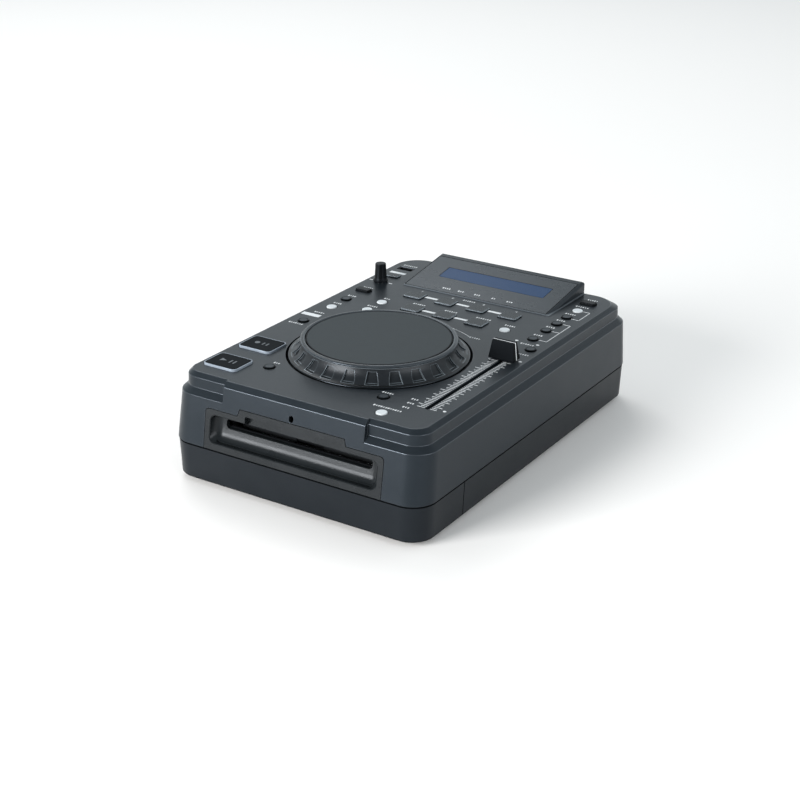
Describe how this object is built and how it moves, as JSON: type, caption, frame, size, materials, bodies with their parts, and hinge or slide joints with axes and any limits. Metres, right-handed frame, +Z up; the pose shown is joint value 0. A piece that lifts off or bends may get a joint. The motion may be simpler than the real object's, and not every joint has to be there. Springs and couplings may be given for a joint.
{
  "type": "tabletop disc player",
  "caption": "Tabletop disc player for DJ use: slot loader in front, jog wheel, pitch fader, sloping display and buttons on top.",
  "frame": {"origin": "on the ground in the middle between the feet: middle of the case in X and Y, bottom of the feet in Z", "axes": "+Z up, -Y to the disc slot and the user, +Y to the sockets at the back, +X to the pitch fader"},
  "size_m": [0.22, 0.331, 0.1008],
  "materials": {
    "abs_case": "fine spark-eroded texture, satin",
    "abs_lower": "fine spark-eroded texture, satin",
    "abs_plate": "smooth satin",
    "abs_wheel": "smooth satin, slightly glossy",
    "rubber_pad": "soft matt rubber",
    "rubber": "matt",
    "felt": "short pile",
    "lcd": "dark blue unlit display under a clear window",
    "painted_steel": "matt black paint",
    "plated_brass": "nickel plated",
    "nickel_steel": "nickel plated",
    "black_nylon": "satin black",
    "board_resin": "green solder mask",
    "supply_core": "varnished laminations and windings",
    "zinc_steel": "zinc plated sheet",
    "ground_steel": "ground and polished",
    "blackened_steel": "black oxide",
    "cast_zinc": "as cast",
    "black_knob": "satin black",
    "gloss_cap": "dark gloss",
    "clear_acrylic": "clear light guide",
    "frosted_key": "translucent smoke grey",
    "white_cap": "translucent white",
    "grey_cap": "satin"
  },
  "bodies": {
    "case": {"bottom_tray": "abs_lower", "front_lower_cover": "abs_lower", "upper_shell": "abs_case", "loader_bezel": "abs_case", "slot_felt": "felt", "display_hood": "abs_case", "display_plate": "abs_plate", "lcd_module": "lcd", "rear_panel": "painted_steel", "rear_jacks": "plated_brass", "mains_inlet": "black_nylon", "usb_socket": "nickel_steel", "main_board": "board_resin", "control_board": "board_resin", "power_supply": "supply_core", "loader_chassis": "zinc_steel", "drive_motors": "zinc_steel", "sled_rails": "ground_steel", "feet": "rubber", "case_screws": "blackened_steel", "jog_axle": "ground_steel", "pitch_fader_body": "zinc_steel"},
    "jog": {"jog_wheel": "abs_wheel", "jog_pad": "rubber_pad"},
    "fader": {"fader_cap": "black_knob"},
    "browse_push": {"browse_shaft": "ground_steel"},
    "browse": {"browse_knob": "black_knob"},
    "cue": {"cue_button": "clear_acrylic", "cue_button_cap": "gloss_cap"},
    "play": {"play_button": "clear_acrylic", "play_button_cap": "gloss_cap"},
    "sled": {"laser_sled": "cast_zinc"},
    "hub": {"turntable_hub": "black_nylon"},
    "roller": {"feed_roller": "rubber"},
    "lead_screw": {"sled_screw": "ground_steel"},
    "power": {"power_button": "black_knob"},
    "source": {"source_button": "black_knob"},
    "usb_stop": {"usb_stop_key": "frosted_key"},
    "hot_cue_1": {"hot_cue_key_1": "frosted_key"},
    "hot_cue_2": {"hot_cue_key_2": "frosted_key"},
    "hot_cue_3": {"hot_cue_key_3": "frosted_key"},
    "hot_cue_4": {"hot_cue_key_4": "frosted_key"},
    "loop_1": {"loop_key_1": "frosted_key"},
    "loop_2": {"loop_key_2": "frosted_key"},
    "loop_3": {"loop_key_3": "frosted_key"},
    "white_1": {"white_button_1": "white_cap"},
    "white_2": {"white_button_2": "white_cap"},
    "white_3": {"white_button_3": "white_cap"},
    "white_4": {"white_button_4": "white_cap"},
    "white_5": {"white_button_5": "white_cap"},
    "white_6": {"white_button_6": "white_cap"},
    "round_1": {"round_button_1": "grey_cap"},
    "round_2": {"round_button_2": "grey_cap"},
    "round_3": {"round_button_3": "grey_cap"},
    "round_4": {"round_button_4": "grey_cap"},
    "round_5": {"round_button_5": "grey_cap"},
    "round_6": {"round_button_6": "grey_cap"},
    "round_7": {"round_button_7": "grey_cap"},
    "round_8": {"round_button_8": "grey_cap"},
    "round_9": {"round_button_9": "grey_cap"}
  },
  "joints": [
    {"name": "jog_turn", "type": "hinge", "parent": "case", "child": "jog", "pos_m": [0, -0.0492, 0.0845], "axis": [0, 0, 1], "continuous": true},
    {"name": "pitch_slide", "type": "slide", "parent": "case", "child": "fader", "axis": [0, -1, 0], "range_m": [0, 0.103]},
    {"name": "cue_press", "type": "slide", "parent": "case", "child": "cue", "axis": [0, 0, -1], "range_m": [0, 0.001], "stiffness_N_per_m": 400, "springref_m": -0.002},
    {"name": "play_press", "type": "slide", "parent": "case", "child": "play", "axis": [0, 0, -1], "range_m": [0, 0.001], "stiffness_N_per_m": 400, "springref_m": -0.002},
    {"name": "browse_push", "type": "slide", "parent": "case", "child": "browse_push", "axis": [0, 0, -1], "range_m": [0, 0.0005], "stiffness_N_per_m": 400, "springref_m": -0.002},
    {"name": "browse_turn", "type": "hinge", "parent": "browse_push", "child": "browse", "pos_m": [-0.0873, 0.0868, 0.0845], "axis": [0, 0, 1], "continuous": true},
    {"name": "sled_slide", "type": "slide", "parent": "case", "child": "sled", "axis": [0, 1, 0], "range_m": [0, 0.034]},
    {"name": "lead_screw_turn", "type": "hinge", "parent": "case", "child": "lead_screw", "pos_m": [0.033, -0.048, 0.04], "axis": [0, 1, 0], "range_deg": [0, 4080]},
    {"name": "hub_spin", "type": "hinge", "parent": "case", "child": "hub", "pos_m": [0, -0.072, 0.0511], "axis": [0, 0, 1], "continuous": true},
    {"name": "roller_turn", "type": "hinge", "parent": "case", "child": "roller", "pos_m": [0, -0.135, 0.0457], "axis": [1, 0, 0], "continuous": true},
    {"name": "power_press", "type": "slide", "parent": "case", "child": "power", "axis": [0, 0, -1], "range_m": [0, 0.001], "stiffness_N_per_m": 400, "springref_m": -0.002},
    {"name": "source_press", "type": "slide", "parent": "case", "child": "source", "axis": [0, 0, -1], "range_m": [0, 0.001], "stiffness_N_per_m": 400, "springref_m": -0.002},
    {"name": "usb_stop_press", "type": "slide", "parent": "case", "child": "usb_stop", "axis": [0, 0, -1], "range_m": [0, 0.001], "stiffness_N_per_m": 400, "springref_m": -0.002},
    {"name": "hot_cue_1_press", "type": "slide", "parent": "case", "child": "hot_cue_1", "axis": [0, 0, -1], "range_m": [0, 0.001], "stiffness_N_per_m": 400, "springref_m": -0.002},
    {"name": "hot_cue_2_press", "type": "slide", "parent": "case", "child": "hot_cue_2", "axis": [0, 0, -1], "range_m": [0, 0.001], "stiffness_N_per_m": 400, "springref_m": -0.002},
    {"name": "hot_cue_3_press", "type": "slide", "parent": "case", "child": "hot_cue_3", "axis": [0, 0, -1], "range_m": [0, 0.001], "stiffness_N_per_m": 400, "springref_m": -0.002},
    {"name": "hot_cue_4_press", "type": "slide", "parent": "case", "child": "hot_cue_4", "axis": [0, 0, -1], "range_m": [0, 0.001], "stiffness_N_per_m": 400, "springref_m": -0.002},
    {"name": "loop_1_press", "type": "slide", "parent": "case", "child": "loop_1", "axis": [0, 0, -1], "range_m": [0, 0.001], "stiffness_N_per_m": 400, "springref_m": -0.002},
    {"name": "loop_2_press", "type": "slide", "parent": "case", "child": "loop_2", "axis": [0, 0, -1], "range_m": [0, 0.001], "stiffness_N_per_m": 400, "springref_m": -0.002},
    {"name": "loop_3_press", "type": "slide", "parent": "case", "child": "loop_3", "axis": [0, 0, -1], "range_m": [0, 0.001], "stiffness_N_per_m": 400, "springref_m": -0.002},
    {"name": "white_1_press", "type": "slide", "parent": "case", "child": "white_1", "axis": [0, 0, -1], "range_m": [0, 0.001], "stiffness_N_per_m": 400, "springref_m": -0.002},
    {"name": "white_2_press", "type": "slide", "parent": "case", "child": "white_2", "axis": [0, 0, -1], "range_m": [0, 0.001], "stiffness_N_per_m": 400, "springref_m": -0.002},
    {"name": "white_3_press", "type": "slide", "parent": "case", "child": "white_3", "axis": [0, 0, -1], "range_m": [0, 0.001], "stiffness_N_per_m": 400, "springref_m": -0.002},
    {"name": "white_4_press", "type": "slide", "parent": "case", "child": "white_4", "axis": [0, 0, -1], "range_m": [0, 0.001], "stiffness_N_per_m": 400, "springref_m": -0.002},
    {"name": "white_5_press", "type": "slide", "parent": "case", "child": "white_5", "axis": [0, 0, -1], "range_m": [0, 0.001], "stiffness_N_per_m": 400, "springref_m": -0.002},
    {"name": "white_6_press", "type": "slide", "parent": "case", "child": "white_6", "axis": [0, 0, -1], "range_m": [0, 0.001], "stiffness_N_per_m": 400, "springref_m": -0.002},
    {"name": "round_1_press", "type": "slide", "parent": "case", "child": "round_1", "axis": [0, 0, -1], "range_m": [0, 0.001], "stiffness_N_per_m": 400, "springref_m": -0.002},
    {"name": "round_2_press", "type": "slide", "parent": "case", "child": "round_2", "axis": [0, 0, -1], "range_m": [0, 0.001], "stiffness_N_per_m": 400, "springref_m": -0.002},
    {"name": "round_3_press", "type": "slide", "parent": "case", "child": "round_3", "axis": [0, 0, -1], "range_m": [0, 0.001], "stiffness_N_per_m": 400, "springref_m": -0.002},
    {"name": "round_4_press", "type": "slide", "parent": "case", "child": "round_4", "axis": [0, 0, -1], "range_m": [0, 0.001], "stiffness_N_per_m": 400, "springref_m": -0.002},
    {"name": "round_5_press", "type": "slide", "parent": "case", "child": "round_5", "axis": [0, 0, -1], "range_m": [0, 0.001], "stiffness_N_per_m": 400, "springref_m": -0.002},
    {"name": "round_6_press", "type": "slide", "parent": "case", "child": "round_6", "axis": [0, 0, -1], "range_m": [0, 0.001], "stiffness_N_per_m": 400, "springref_m": -0.002},
    {"name": "round_7_press", "type": "slide", "parent": "case", "child": "round_7", "axis": [0, 0, -1], "range_m": [0, 0.001], "stiffness_N_per_m": 400, "springref_m": -0.002},
    {"name": "round_8_press", "type": "slide", "parent": "case", "child": "round_8", "axis": [0, 0, -1], "range_m": [0, 0.001], "stiffness_N_per_m": 400, "springref_m": -0.002},
    {"name": "round_9_press", "type": "slide", "parent": "case", "child": "round_9", "axis": [0, 0, -1], "range_m": [0, 0.001], "stiffness_N_per_m": 400, "springref_m": -0.002}
  ],
  "couplings": [
    {"joint": "lead_screw_turn", "follows": "sled_slide", "rad_per_m": 2094.4}
  ]
}
